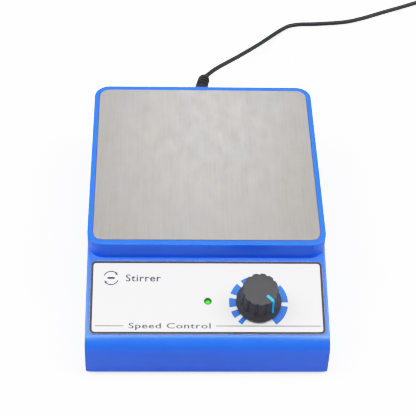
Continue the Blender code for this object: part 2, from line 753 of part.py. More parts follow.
def motor_bracket():
    """A folded steel plate with a flange down its left and right sides."""
    outline = rectangle(BRACKET, BRACKET, 5 * MM)
    clearance = 1.8 * MM
    holes = [circle(x, y, clearance, 12) for x, y in BRACKET_SCREWS + MOTOR_SCREWS]
    loops = [outline, circle(0, 0, 5.4 * MM), *holes]
    bracket = flat("motor_bracket", loops, BRACKET_LOW, BRACKET_HIGH)
    thickness = BRACKET_HIGH - BRACKET_LOW
    half_length = BRACKET / 2 - 8 * MM
    for side in (-1, 1):
        edges = sorted((side * BRACKET / 2, side * (BRACKET / 2 - thickness)))
        low = (edges[0], -half_length, BRACKET_LOW - 6 * MM)
        join(bracket, box("flange", low, (edges[1], half_length, BRACKET_LOW + thickness / 2)))
    finish(bracket, "zinc_steel")


def magnet_carrier(rotor):
    """The bar that the motor turns under the deck, with a pocket for a magnet at each end."""
    outline = rectangle(CARRIER_LENGTH, CARRIER_WIDTH, CARRIER_WIDTH / 2 - 0.1 * MM)
    carrier = flat("magnet_carrier", [outline], CARRIER_LOW, CARRIER_HIGH, parent=rotor)
    join(carrier, cylinder("hub", HUB_RADIUS, HUB_LOW, CARRIER_LOW + 2 * MM, parent=rotor))
    pockets = [(-MAGNET_OFFSET, 0), (MAGNET_OFFSET, 0)]
    pocket = (MAGNET_LOW - GAP, CARRIER_HIGH + MM)
    cut(carrier, posts("magnet_pockets", pockets, MAGNET_RADIUS + GAP, *pocket, parent=rotor))
    bore = (HUB_LOW - MM, CARRIER_HIGH + MM)
    cut(carrier, cylinder("carrier_bore", MOTOR_SHAFT + GAP, *bore, parent=rotor))
    middle = (0, 0, (CARRIER_LOW + CARRIER_HIGH) / 2)
    radial = {"at": middle, "turn": (-math.pi / 2, 0, 0), "parent": rotor}
    cut(carrier, cylinder("set_screw_hole", 1.8 * MM, 1 * MM, CARRIER_WIDTH, sides=16, **radial))
    finish(carrier, "black_plastic")
    set_screw = cylinder("carrier_set_screw", 1.5 * MM, 2.4 * MM, 8 * MM, sides=16, **radial)
    finish(set_screw, "zinc_steel")


def magnets(rotor):
    for name, x in (("magnet_north", -MAGNET_OFFSET), ("magnet_south", MAGNET_OFFSET)):
        high = MAGNET_LOW + MAGNET_THICKNESS
        magnet = cylinder(name, MAGNET_RADIUS, MAGNET_LOW, high, sides=24, at=(x, 0, 0), parent=rotor)
        finish(bevel(magnet, 0.4 * MM, 1), "magnet_nickel")


def motor_shaft(rotor):
    low = MOTOR_HIGH - 8 * MM + GAP
    shaft = cylinder("motor_shaft", MOTOR_SHAFT, low, CARRIER_HIGH - MM, sides=20, parent=rotor)
    finish(shaft, "zinc_steel")


# ---------------------------------------------------------------- power inlet, plug and cord


def power_inlet(inlet):
    """The barrel socket in the rear wall, its centre pin and the nut that clamps it."""
    under_wall = -WALL - GAP
    neck_end = 3 * MM
    back = -20 * MM
    bore_end = -10 * MM
    pin_radius = 0.85 * MM
    pin_bore = pin_radius + GAP
    pin_end = -15 * MM
    profile = [(0, pin_end), (pin_bore, pin_end), (pin_bore, bore_end), (SOCKET_RADIUS, bore_end)]
    profile += [(SOCKET_RADIUS, neck_end), (NECK_RADIUS, neck_end), (NECK_RADIUS, under_wall)]
    profile += [(5.5 * MM, under_wall), (5.5 * MM, back), (0, back)]
    finish(turned("dc_jack", profile, steps=24, parent=inlet), "black_plastic")
    pin = cylinder("dc_jack_pin", pin_radius, pin_end + GAP, 1.5 * MM, sides=16, parent=inlet)
    finish(pin, "brass")
    loops = [circle(0, 0, 6.3 * MM, 6), circle(0, 0, NECK_RADIUS + GAP)]
    finish(flat("dc_jack_nut", loops, GAP, 2.3 * MM, parent=inlet), "zinc_steel")


def plug_barrel(inlet):
    tip = -9.5 * MM
    bore = 1.15 * MM
    profile = [(0, 3.3 * MM), (BARREL_RADIUS, 3.3 * MM), (BARREL_RADIUS, tip), (bore, tip)]
    profile += [(bore, 2.5 * MM), (0, 2.5 * MM)]
    finish(turned("dc_plug_barrel", profile, steps=24, parent=inlet), "magnet_nickel")


def hood_centre(reach):
    """A point on the plug hood's centre line, which bends over to +X and sags a little."""
    bend = max(0, reach - 8 * MM) ** 2 / MM
    x, height = JACK_SPOT
    return Vector((x + 0.0043 * bend, DECK / 2 + HOOD_START + reach, height - 0.0012 * bend))


def hood_sections():
    """(reach, scale) along the hood: straight sides, ring grooves and a rounded end."""
    sections = [(0, 0.90), (0.8 * MM, 1.0), (8 * MM, 1.0), (16 * MM, 1.0)]
    lip, floor, depth = 0.9 * MM, 0.4 * MM, 0.16
    for groove in HOOD_GROOVES:
        sections += [(groove - lip, 1.0), (groove - floor, 1 - depth)]
        sections += [(groove + floor, 1 - depth), (groove + lip, 1.0)]
    rounding = ((2.6, 0.97), (1.0, 0.85), (0, 0.55))  # (distance from the tip, scale)
    return sections + [(HOOD_LENGTH - short * MM, scale) for short, scale in rounding]


def plug_hood():
    points, swell = [], []
    thick, thin = HOOD_RADIUS
    for reach, scale in hood_sections():
        points.append(hood_centre(reach))
        swell.append(scale * (1 + (thin / thick - 1) * reach / HOOD_LENGTH))
    finish(cable("dc_plug_hood", points, thick, swell, resolution=4), "cord_rubber")


def power_cord():
    """The cord leaves the hood, comes down to the bench and lies on it in a lazy curve."""
    start = hood_centre(HOOD_LENGTH + 2 * GAP)
    falling = [(6.2, 126.6, 30.8), (13.5, 138.3, 27.3), (33, 169.3, 14.5), (51, 195.5, 5.8)]
    lying = [(71.5, 220.2), (83.5, 226.5), (100.3, 227.8), (123.8, 230.6), (139.8, 235.7)]
    lying += [(160.4, 245.2), (181.2, 254.6), (214, 270.3)]
    knots = [Vector(point) * MM for point in falling]
    knots += [Vector((x * MM, y * MM, CORD_RADIUS)) for x, y in lying]
    points = flowing([start, *knots], 3)
    for point in points:
        point.z = max(point.z, CORD_RADIUS)
    finish(cable("power_cord", points, CORD_RADIUS, resolution=2), "cord_rubber")


# ---------------------------------------------------------------- control board and wiring


def control_board():
    """The speed controller: its board, power transistor on a heat sink, chip and connectors."""
    outline = [(BOARD_RIGHT, BOARD_REAR, 1 * MM), (BOARD_LEFT, BOARD_REAR, 1 * MM)]
    outline += [(BOARD_LEFT, BOARD_FRONT, 1 * MM), (BOARD_RIGHT, BOARD_FRONT, 1 * MM)]
    holes = [circle(x, y, 1.55 * MM, 12) for x, y in BOARD_POSTS]
    board = flat("control_board", [rounded(outline, 2), *holes], BOARD_LOW, BOARD_HIGH)
    finish(board, "board_green")
    capacitor_top = ON_BOARD + 11 * MM
    capacitor = cylinder(
        "filter_capacitor", 5 * MM, ON_BOARD, capacitor_top, at=(-22 * MM, -101 * MM, 0)
    )
    finish(bevel(capacitor, 0.5 * MM, 1), "black_plastic")
    chip_top = ON_BOARD + 3 * MM
    chip = box("driver_chip", (-50 * MM, -119 * MM, ON_BOARD), (-40 * MM, -112.5 * MM, chip_top))
    finish(chip, "black_plastic")
    connectors = {
        "power_connector": (-20 * MM, -116 * MM),
        "motor_connector": (-60 * MM, -108 * MM),
    }
    for name, (x, y) in connectors.items():
        corner = (x + 8 * MM, y + 7 * MM, ON_BOARD + 8 * MM)
        finish(bevel(box(name, (x, y, ON_BOARD), corner), 0.5 * MM, 1), "white_plastic")


def power_stage():
    """A transistor standing against a finned heat sink."""
    left, right, face = -50 * MM, -36 * MM, -101 * MM
    sink_top = ON_BOARD + 15 * MM
    sink = box("heat_sink", (left, face, ON_BOARD), (right, face + 2 * MM, sink_top))
    fins = 4
    for n in range(fins):
        x = left + (right - left - 1.2 * MM) * n / (fins - 1)
        join(sink, box("fin", (x, face + MM, ON_BOARD), (x + 1.2 * MM, face + 7 * MM, sink_top)))
    finish(sink, "aluminium")
    middle = (left + right) / 2
    low = (middle - 5 * MM, face - GAP - 4.4 * MM, ON_BOARD)
    high = (middle + 5 * MM, face - GAP, ON_BOARD + 14 * MM)
    finish(bevel(box("drive_transistor", low, high), 0.4 * MM, 1), "black_plastic")


def wire(name, knots, radius, slot):
    points = flowing([Vector(knot) * MM for knot in knots], 3)
    finish(cable(name, points, radius), slot)


def wiring():
    """Leads from the inlet, motor, control and lamp to the board, laid along the bottom cover."""
    thin = 0.8 * MM
    lug = 2.3  # half the spacing of the inlet's two lugs
    for name, side, slot in (("inlet_lead_red", lug, "wire_red"), ("inlet_lead_black", -lug, "wire_black")):
        x = JACK_SPOT[0] / MM + side
        down = [(x, 59.5, 33), (x + 10, 52, 28), (x + 24, 38, 16), (x + 30, 10, 8.5)]
        along = [(x + 26, -40, 8.5), (x + 12, -84, 9), (x + 4, -104, 15)]
        row = -112.9 - side
        wire(name, [*down, *along, (-5, row, 20), (-10.9, row, 20.5)], thin, slot)
    left = [(-24, 0, 9.2), (-30, -8, 8.6), (-44, -50, 8.6), (-54, -78, 12), (-58, -91, 17.5)]
    left += [(-58, -99.9, 19.5)]
    right = [(24, 0, 9.2), (21, -20, 8.2), (-10, -44, 8), (-36, -66, 9), (-46, -80, 13)]
    right += [(-53.5, -91, 17.5), (-54.5, -99.9, 19.5)]
    wire("motor_lead_red", left, thin, "wire_red")
    wire("motor_lead_black", right, thin, "wire_black")
    control = [(33.7, -127.5, 16.8), (28, -124, 11), (10, -122, 11), (-2, -121.5, 17), (-14, -121, 16.6)]
    wire("control_lead", control, 1.2 * MM, "wire_black")
    lamp = [(0.3, -109.1, 28.4), (-1, -108, 26), (-7, -104, 21), (-15, -105.5, 16.2)]
    wire("lamp_lead", lamp, thin, "wire_red")


# ---------------------------------------------------------------- assembly


def main():
    clear_scene()
    bench = empty("bench", at=(0, 0, -OVERALL_HEIGHT))
    panel = empty("panel", (0, -DECK / 2, PANEL_HEAD), (PANEL_SLOPE, 0, 0), bench)
    knob_at = (KNOB_SPOT[0], -KNOB_SPOT[1], 0)
    knob_axis = empty("knob_axis", knob_at, (0, 0, POINTER_ANGLE), panel)
    pot_axis = empty("pot_axis", knob_at, parent=panel)
    lamp = empty("lamp", (LED_SPOT[0], -LED_SPOT[1], 0), parent=panel)
    rotor = empty("rotor_axis", parent=bench)
    inlet_at = (JACK_SPOT[0], DECK / 2, JACK_SPOT[1])
    inlet = empty("inlet", inlet_at, (-math.pi / 2, 0, 0), bench)

    top_shell(panel, inlet)
    work_plate()
    bottom_cover()
    feet()
    all_screws()

    front_label(panel)
    power_lamp(lamp)
    potentiometer(pot_axis)
    pot_wafer(pot_axis)
    pot_shaft(knob_axis)
    speed_knob(knob_axis)

    motor()
    motor_bracket()
    magnet_carrier(rotor)
    magnets(rotor)
    motor_shaft(rotor)

    power_inlet(inlet)
    plug_barrel(inlet)
    plug_hood()
    power_cord()

    control_board()
    power_stage()
    wiring()


main()
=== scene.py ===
"""The looks of the magnetic stirrer: its finishes, printed panel, fluted knob, plug and cord."""

import json
import math

import bmesh
import bpy
from mathutils import Matrix, Vector


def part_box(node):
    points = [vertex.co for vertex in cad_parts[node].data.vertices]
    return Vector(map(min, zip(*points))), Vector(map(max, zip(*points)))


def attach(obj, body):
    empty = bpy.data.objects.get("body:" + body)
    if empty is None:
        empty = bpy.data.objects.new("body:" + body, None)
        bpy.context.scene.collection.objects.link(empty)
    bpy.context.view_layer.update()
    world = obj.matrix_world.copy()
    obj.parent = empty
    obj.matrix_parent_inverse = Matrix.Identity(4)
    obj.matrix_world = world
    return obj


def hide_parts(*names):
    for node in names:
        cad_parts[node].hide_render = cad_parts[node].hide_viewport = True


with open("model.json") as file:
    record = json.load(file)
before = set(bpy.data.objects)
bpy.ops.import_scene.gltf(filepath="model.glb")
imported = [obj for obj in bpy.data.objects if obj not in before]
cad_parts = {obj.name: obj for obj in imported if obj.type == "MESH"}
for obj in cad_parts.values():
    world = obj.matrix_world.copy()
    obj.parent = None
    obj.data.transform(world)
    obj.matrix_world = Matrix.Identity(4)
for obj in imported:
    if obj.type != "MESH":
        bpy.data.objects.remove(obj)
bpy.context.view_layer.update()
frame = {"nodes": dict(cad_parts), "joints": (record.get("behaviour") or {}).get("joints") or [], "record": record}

MM = 0.001

# Panel layout: x, and distance down the slope from the head of the panel
KNOB_DOWN = 33.0 * MM
LABEL_SIZE = (154.2 * MM, 53.0 * MM)
LABEL_CORNER = 3.5 * MM
LABEL_MIDDLE = 29.3 * MM
LABEL_TOP = 0.3 * MM  # heights on the panel are measured out from its surface
BORDER_WIDTH = 1.75 * MM
INK = 0.05 * MM  # how far a print stands above the label
LAMP = (0.3 * MM, 32.2 * MM)
LAMP_RADIUS = 1.95 * MM
LAMP_SUNK = 0.7 * MM
LAMP_FLANGE = (0.4 * MM, 6.0 * MM, 7.0 * MM)  # how far it stands out, and its two depths

# Dial marks: eight ring sectors that widen clockwise
DIAL_RADII = (13.4 * MM, 19.55 * MM)
DIAL_START = 235.2
DIAL_SWEEP = 290.5
DIAL_MARKS = 8
FIRST_MARK = 10.8
MARK_GROWTH = 5.1

# Words and symbol. Boxes are (left, right, top, bottom)
TITLE_BOX = (-54 * MM, -30.5 * MM, 12.7 * MM, 18.0 * MM)
CAPTION_BOX = (-51.7 * MM, 2.0 * MM, 47.8 * MM, 51.8 * MM)
LETTER_WEIGHT = 0.022  # outward offset of the outlines, in letter heights
RULES = {"rule_left": (-73.7 * MM, -54.8 * MM), "rule_right": (5.3 * MM, 74.0 * MM)}
RULE_LINES = (49.5 * MM, 50.4 * MM)
SYMBOL_CENTRE = (-63.6 * MM, 15.4 * MM)
SYMBOL_RADIUS = 4.9 * MM
SYMBOL_LINE = 0.9 * MM
ARROW_HEAD = 1.35 * MM
ARROW_STARTS = (20, 200)  # degrees
ARROW_SWEEP = 112
SYMBOL_BAR = (2.6 * MM, 0.8 * MM)  # half length, half height

# Knob
KNOB_FOOT = 1.2 * MM
KNOB_TOP = 20.4 * MM
KNOB_TOP_RADIUS = 11.9 * MM
KNOB_LOW = (12.4 * MM, 7.0 * MM)
KNOB_SKIRT = 15.0 * MM
SKIRT_EDGE = 2.4 * MM
KNOB_EDGE = 0.9 * MM
KNOB_BORE_TOP = 16.3 * MM
KNOB_HOLLOW = (  # (radius, height) up the inside
    (13.2 * MM, 1.2 * MM),
    (11.2 * MM, 5.4 * MM),
    (3.35 * MM, 5.4 * MM),
    (3.35 * MM, KNOB_BORE_TOP),
)
FLUTES = 13  # the pointer stands in one of them
FLUTE_HALF = 1.35 * MM
POINTER_FLUTE_HALF = 1.5 * MM
FLUTE_DEPTH = 0.95 * MM
POINTER_WIDTH = 1.8 * MM
POINTER_START = 6.0 * MM
POINTER_END = 4.9 * MM
POINTER_ANGLE = math.radians(-46)

# Plug hood: it bends over to +X and sags, by shares of the square of the reach past its start
HOOD_LENGTH = 37.4 * MM
HOOD_RADII = (5.3 * MM, 4.4 * MM)
HOOD_BEND_START = 12 * MM
HOOD_BEND = 0.0057
HOOD_SAG = 0.0016
HOOD_GROOVES = (25.2 * MM, 28.2 * MM, 31.2 * MM)
GROOVE_HALF = 0.8 * MM
GROOVE_DEPTH = 0.24  # as a share of the radius
HOOD_TIP = 3.6 * MM
HOOD_ROOT = 0.8 * MM

# Cord: where it goes, in mm: x, y and height above the bench, then x and y along the bench
CORD_RADIUS = 1.8 * MM
CORD_FALLING = ((6.2, 126.6, 30.8), (13.5, 138.3, 27.3), (33, 169.3, 14.5), (51, 195.5, 5.8))
CORD_LYING = (
    (71.5, 220.2),
    (83.5, 226.5),
    (100.3, 227.8),
    (123.8, 230.6),
    (139.8, 235.7),
    (160.4, 245.2),
    (181.2, 254.6),
    (214, 270.3),
)

# Light
SKY_LEAN = (0, 0.6, 0.8)
SKY_FADE = (-0.1, 1.0)
SKY_RANGE = (0.32, 0.55)
LIGHTS = {  # place, size and power
    "overhead": ((0.0, -0.10, 1.2), (2.2, 0.36), 10.5),
    "left_side": ((-1.0, -0.08, 1.0), (0.9, 0.9), 8.5),
    "right_side": ((1.0, -0.08, 1.0), (0.9, 0.9), 8.5),
    "rear": ((0.04, 0.85, 0.74), (0.25, 0.25), 0.42),
}
LIGHT_TARGET = (0, -0.03, -0.03)
FLOOR_SIZE = 6
BRIGHTEST = 2.6
SHOULDER = (  # light, and how bright it is shown
    (0.15, 0.155),
    (0.3, 0.33),
    (0.55, 0.61),
    (0.8, 0.775),
    (1.15, 0.90),
    (1.6, 0.965),
)

# How far a finish's colour wanders in faint patches, as a share of itself
PLASTIC_BLOTCH = 0.06
METAL_BLOTCH = 0.08

# Angle beyond which an edge stays sharp, on the CAD's meshes and on the finished pieces
CAD_SHARP = math.radians(32)
PIECE_SHARP = math.radians(35)

# Camera
CAMERA_AT = (-0.031587, -0.688278, 0.661914)
CAMERA_YAW = math.radians(2.919)
CAMERA_PITCH = math.radians(45.834)
CAMERA_ROLL = math.radians(2.387)
LENS = 117.4


def srgb(red, green, blue):
    """Screen values, 0 to 255, as linear light."""
    shares = [value / 255 for value in (red, green, blue)]
    return [s / 12.92 if s <= 0.04045 else ((s + 0.055) / 1.055) ** 2.4 for s in shares]


# ---------------------------------------------------------------- node graphs


class Graph:
    """A material's node tree, written one call per node."""

    def __init__(self, name):
        self.material = bpy.data.materials.new(name)
        self.material.use_nodes = True
        self.tree = self.material.node_tree
        self.shader = self.tree.nodes["Principled BSDF"]

    def feed(self, socket, value):
        if isinstance(value, bpy.types.NodeSocket):
            self.tree.links.new(value, socket)
        elif socket.type == "RGBA":
            socket.default_value = (*value, 1)
        else:
            socket.default_value = value

    def add(self, kind, inputs, **settings):
        made = self.tree.nodes.new("ShaderNode" + kind)
        for name, value in settings.items():
            setattr(made, name, value)
        for name, value in inputs.items():
            self.feed(made.inputs[name], value)
        return made

    def set(self, **inputs):
        """Feeds the surface shader: Base_Color=..., Roughness=..."""
        for name, value in inputs.items():
            self.feed(self.shader.inputs[name.replace("_", " ")], value)

    def noise(self, size, detail=3.0, stretch=(1, 1, 1), rough=0.55):
        """Noise whose patches are about `size` across, in metres, before stretching."""
        place = self.add("TexCoord", {}).outputs["Object"]
        scale = [1 / (size * s) for s in stretch]
        place = self.add("Mapping", {"Vector": place, "Scale": scale}).outputs[0]
        inputs = {"Vector": place, "Scale": 1.0, "Detail": detail, "Roughness": rough}
        return self.add("TexNoise", inputs).outputs["Fac"]

    def spread(self, value, low, high, start=0.3, end=0.7):
        """The value, stretched from start..end to low..high."""
        inputs = {"Value": value, "From Min": start, "From Max": end}
        inputs |= {"To Min": low, "To Max": high}
        return self.add("MapRange", inputs).outputs[0]

    def mix(self, share, first, second):
        made = self.tree.nodes.new("ShaderNodeMix")
        made.data_type = "RGBA"
        self.feed(made.inputs["Factor"], share)
        self.feed(made.inputs[6], first)
        self.feed(made.inputs[7], second)
        return made.outputs[2]

    def math(self, operation, first, second):
        made = self.tree.nodes.new("ShaderNodeMath")
        made.operation = operation
        self.feed(made.inputs[0], first)
        self.feed(made.inputs[1], second)
        return made.outputs[0]

    def bump(self, height, depth, under=None):
        inputs = {"Height": height, "Distance": depth, "Strength": 1.0}
        if under is not None:
            inputs["Normal"] = under
        return self.add("Bump", inputs).outputs[0]

    def seen(self):
        """One where the camera looks at the surface itself, zero in what it gives to others."""
        return self.add("LightPath", {}).outputs["Is Camera Ray"]

    def edges(self, radius):
        """One along convex and concave edges, zero on flats."""
        soft = self.add("Bevel", {"Radius": radius}, samples=4).outputs[0]
        true = self.add("NewGeometry", {}).outputs["Normal"]
        turn = self.add("VectorMath", {0: soft, 1: true}, operation="DOT_PRODUCT").outputs["Value"]
        return self.spread(turn, 1.0, 0.0, 0.90, 0.995)


def shade(colour, share):
    """The colour, darker or lighter."""
    return [min(1.0, c * share) for c in colour]


def plastic(name, colour, roughness, grain=0.35 * MM, depth=0.006 * MM, wear_and_highlight=0.15):
    """A moulded plastic or rubber: fine grain, faint blotches and lighter, smoother edges, lightened partly as
    rubbing and partly as painted highlight.
    """
    g = Graph(name)
    patch = g.noise(14 * MM, 4)
    darker, lighter = shade(colour, 1 - PLASTIC_BLOTCH), shade(colour, 1 + PLASTIC_BLOTCH)
    tint = g.mix(g.spread(patch, 0, 1), darker, lighter)
    # The lighter edges are partly rubbing and partly a painted highlight along convex and concave edges
    edge = g.edges(0.35 * MM)
    worn_highlit_colour = [c + (1 - c) * 0.35 for c in colour]
    wear_and_highlight_mask = g.math("MULTIPLY", edge, g.spread(g.noise(3 * MM, 5), 0.2 * wear_and_highlight, wear_and_highlight))
    fine = g.noise(grain, 2)
    rough = g.spread(g.noise(5 * MM, 4), roughness - 0.04, roughness + 0.05)
    g.set(Base_Color=g.mix(wear_and_highlight_mask, tint, worn_highlit_colour), Roughness=rough)
    g.set(Normal=g.bump(fine, depth))
    return g.material


def metal(name, colour, roughness, stretch=(1, 1, 1)):
    """A bare or plated metal with a drawn or tumbled grain."""
    g = Graph(name)
    patch = g.noise(6 * MM, 4)
    darker, lighter = shade(colour, 1 - METAL_BLOTCH), shade(colour, 1 + METAL_BLOTCH)
    tint = g.mix(g.spread(patch, 0, 1), darker, lighter)
    streak = g.noise(0.25 * MM, 3, stretch)
    g.set(Base_Color=tint, Metallic=1.0)
    g.set(Roughness=g.spread(streak, roughness - 0.08, roughness + 0.10))
    g.set(Normal=g.bump(streak, 0.003 * MM))
    return g.material


def steel_plate():
    """Brushed stainless steel: streaks along Y over cloudy patches, with faint cross strokes."""
    g = Graph("steel_plate_finish")
    broad = g.spread(g.noise(45 * MM, 2), 0, 1)
    cloud = g.noise(10 * MM, 5, (1, 1.6, 1), 0.62)
    streak = g.noise(0.32 * MM, 3, (1, 60, 1), 0.7)
    long_streak = g.noise(1.5 * MM, 4, (1, 34, 1), 0.65)
    cross_streak = g.noise(0.9 * MM, 3, (26, 1, 1), 0.6)
    base = srgb(183, 180, 177)
    tint = g.mix(broad, srgb(180, 180, 181), srgb(186, 181, 174))
    tint = g.mix(g.spread(cloud, 0, 0.7, 0.28, 0.72), tint, shade(base, 0.84))
    tint = g.mix(g.spread(long_streak, 0.0, 0.6), tint, shade(base, 1.16))
    tint = g.mix(g.spread(cross_streak, 0.0, 0.35), tint, shade(base, 0.88))
    tint = g.mix(g.spread(streak, 0.0, 0.4), tint, shade(base, 1.20))
    rough = g.math("ADD", g.spread(streak, 0.31, 0.43), g.spread(cloud, -0.035, 0.035))
    g.set(Base_Color=tint, Metallic=1.0, Roughness=rough)
    g.set(Normal=g.bump(streak, 0.0012 * MM))
    return g.material


def label_film():
    """White printed film under a satin clear layer, not perfectly flat."""
    g = Graph("label_film_finish")
    base = srgb(241, 241, 243)
    dust = g.spread(g.noise(2.5 * MM, 6), 0, 1, 0.45, 0.8)
    film = g.mix(dust, base, shade(base, 0.965))
    # Painted shade: other surfaces get back only a grey 0.38 from the film while the camera sees it white, so the
    # case and knob near the label stay darker
    g.set(Base_Color=g.mix(g.seen(), (0.38, 0.38, 0.39), film))
    wave = g.bump(g.noise(11 * MM, 2), 0.02 * MM)
    g.set(Roughness=g.spread(g.noise(4 * MM, 4), 0.36, 0.44))
    g.set(Normal=g.bump(g.noise(0.22 * MM, 2), 0.003 * MM, wave))
    return g.material


def ink(name, colour, roughness=0.45):
    """Screen print: nearly even, with the slight mottling of a printed film."""
    g = Graph(name)
    grain = g.spread(g.noise(0.5 * MM, 4), 0, 1)
    g.set(Base_Color=g.mix(grain, shade(colour, 0.93), shade(colour, 1.07)))
    g.set(Roughness=g.spread(g.noise(1.5 * MM, 3), roughness - 0.05, roughness + 0.05))
    g.set(Normal=g.bump(g.noise(0.2 * MM, 2), 0.002 * MM))
    return g.material


def lamp_lens():
    """A lit green lens, brightest over the die and towards its foot."""
    g = Graph("lamp_lens_finish")
    facing = g.add("LayerWeight", {"Blend": 0.35}).outputs["Facing"]
    core = srgb(70, 255, 20)
    rim = srgb(20, 190, 30)
    glow = g.mix(facing, core, rim)
    swirl = g.spread(g.noise(0.8 * MM, 2), 0.85, 1.15)
    g.set(Base_Color=srgb(20, 170, 20), Roughness=g.spread(g.noise(0.6 * MM, 2), 0.12, 0.2))
    g.set(Emission_Color=glow, Emission_Strength=g.math("MULTIPLY", swirl, 0.62))
    g.set(Coat_Weight=0.6, Coat_Roughness=0.08)
    return g.material


def blue_case():
    """Satin blue ABS with a fine spark-eroded texture and lighter edges, partly rubbed and partly a painted
    highlight.
    """
    g = Graph("blue_case_finish")
    colour = (0.016, 0.147, 0.93)
    patch = g.noise(22 * MM, 4)
    tint = g.mix(g.spread(patch, 0, 1), shade(colour, 0.96), shade(colour, 1.04))
    # Painted highlight, with some rubbing: edges are mixed towards a pale highlight blue
    case_wear_and_highlight = g.math("MULTIPLY", g.edges(0.4 * MM), g.spread(g.noise(2.5 * MM, 6), 0.05, 0.35))
    g.set(Base_Color=g.mix(case_wear_and_highlight, tint, srgb(120, 170, 250)))
    g.set(Roughness=g.spread(g.noise(6 * MM, 5), 0.21, 0.27))
    ripple = g.bump(g.noise(16 * MM, 2), 0.03 * MM)
    g.set(Normal=g.bump(g.noise(0.28 * MM, 2), 0.004 * MM, ripple))
    return g.material


def foam(name, colour):
    """Open foam: dark pits between paler walls, the pits' darkness a painted shade."""
    g = Graph(name)
    cells = g.add("TexVoronoi", {"Scale": 1 / (0.25 * MM)})
    g.feed(cells.inputs["Vector"], g.add("TexCoord", {}).outputs["Object"])
    pits = cells.outputs["Distance"]
    # Painted shade: the pits are darkened to 0.7 of the colour, as shade in the hollows
    g.set(Base_Color=g.mix(g.spread(pits, 0, 1, 0, 0.8), shade(colour, 0.7), colour))
    g.set(Roughness=0.95, Normal=g.bump(pits, 0.06 * MM))
    return g.material


def board_finish():
    """Green solder mask with the ghost of copper tracks under it."""
    g = Graph("board_finish")
    place = g.add("TexCoord", {}).outputs["Object"]
    tracks = g.add("TexBrick", {"Vector": place, "Scale": 1 / (9 * MM), "Mortar Size": 0.03})
    tracks.inputs["Color1"].default_value = (*srgb(8, 84, 42), 1)
    tracks.inputs["Color2"].default_value = (*srgb(12, 96, 50), 1)
    tracks.inputs["Mortar"].default_value = (*srgb(26, 128, 66), 1)
    g.set(Base_Color=tracks.outputs["Color"], Roughness=g.spread(g.noise(2 * MM, 3), 0.28, 0.42))
    g.set(Normal=g.bump(tracks.outputs["Fac"], 0.02 * MM))
    return g.material


BORDER_INK = srgb(44, 38, 46)
TEXT_INK = srgb(52, 52, 58)
LINE_INK = srgb(118, 118, 122)
BLUE_INK = srgb(0, 106, 214)

FINISHES = {
    "blue_plastic": blue_case(),
    "steel_plate": steel_plate(),
    "label_film": label_film(),
    "black_plastic": plastic("black_plastic_finish", srgb(38, 38, 41), 0.50, depth=0.010 * MM),
    "knob_plastic": plastic("knob_finish", srgb(54, 53, 57), 0.46, grain=0.22 * MM, wear_and_highlight=0.16),
    "pointer_blue": ink("pointer_finish", srgb(30, 172, 236), 0.40),
    "led_green": lamp_lens(),
    "rubber": plastic("foot_rubber_finish", srgb(34, 34, 34), 0.82, 0.5 * MM, 0.03 * MM),
    "foam_tape": foam("foam_tape_finish", srgb(218, 216, 208)),
    "cord_rubber": plastic("cord_finish", srgb(25, 26, 29), 0.50, 0.3 * MM, 0.012 * MM),
    "zinc_steel": metal("zinc_finish", srgb(196, 198, 200), 0.34),
    "brass": metal("brass_finish", srgb(205, 172, 96), 0.32),
    "magnet_nickel": metal("nickel_finish", srgb(212, 209, 202), 0.20),
    "aluminium": metal("aluminium_finish", srgb(208, 210, 213), 0.36, stretch=(1, 1, 20)),
    "board_green": board_finish(),
    "wire_red": plastic("red_wire_finish", srgb(190, 34, 30), 0.48),
    "wire_black": plastic("black_wire_finish", srgb(32, 32, 34), 0.48),
    "grey_plastic": plastic("grey_plastic_finish", srgb(108, 110, 106), 0.45),
    "white_plastic": plastic("white_plastic_finish", srgb(228, 228, 222), 0.45),
}


# ---------------------------------------------------------------- finishing the CAD nodes


def smooth_group():
    """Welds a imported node's loose triangles and shades it smooth, but for its sharp edges."""
    group = bpy.data.node_groups.new("weld_and_smooth", "GeometryNodeTree")
    group.interface.new_socket("Geometry", in_out="INPUT", socket_type="NodeSocketGeometry")
    group.interface.new_socket("Geometry", in_out="OUTPUT", socket_type="NodeSocketGeometry")
    nodes, link = group.nodes, group.links.new
    start = nodes.new("NodeGroupInput")
    end = nodes.new("NodeGroupOutput")
    clean = nodes.new("GeometryNodeRemoveAttribute")
    clean.inputs["Name"].default_value = "custom_normal"
    weld = nodes.new("GeometryNodeMergeByDistance")
    weld.inputs["Distance"].default_value = 0.001 * MM
    faces = nodes.new("GeometryNodeSetShadeSmooth")
    faces.domain = "FACE"
    edges = nodes.new("GeometryNodeSetShadeSmooth")
    edges.domain = "EDGE"
    edges.inputs["Shade Smooth"].default_value = False
    angle = nodes.new("GeometryNodeInputMeshEdgeAngle")
    sharp = nodes.new("ShaderNodeMath")
    sharp.operation = "GREATER_THAN"
    sharp.inputs[1].default_value = CAD_SHARP
    link(start.outputs[0], clean.inputs["Geometry"])
    link(clean.outputs[0], weld.inputs["Geometry"])
    link(weld.outputs[0], faces.inputs["Geometry"])
    link(faces.outputs[0], edges.inputs["Geometry"])
    link(angle.outputs["Unsigned Angle"], sharp.inputs[0])
    link(sharp.outputs[0], edges.inputs["Selection"])
    link(edges.outputs[0], end.inputs[0])
    return group


def finish_cad_nodes():
    """Every node in its slot's finish, welded and smoothed."""
    group = smooth_group()
    slots = {row["node"]: row["material_slot"] for row in frame["record"]["subparts"]}
    for name, obj in frame["nodes"].items():
        for place in obj.material_slots:
            place.material = FINISHES[slots[name]]
        soften = obj.modifiers.new("Weld and smooth", "NODES")
        soften.node_group = group


# ---------------------------------------------------------------- shapes


def dial_joint():
    return next(joint for joint in frame["joints"] if joint["name"] == "knob_turn")


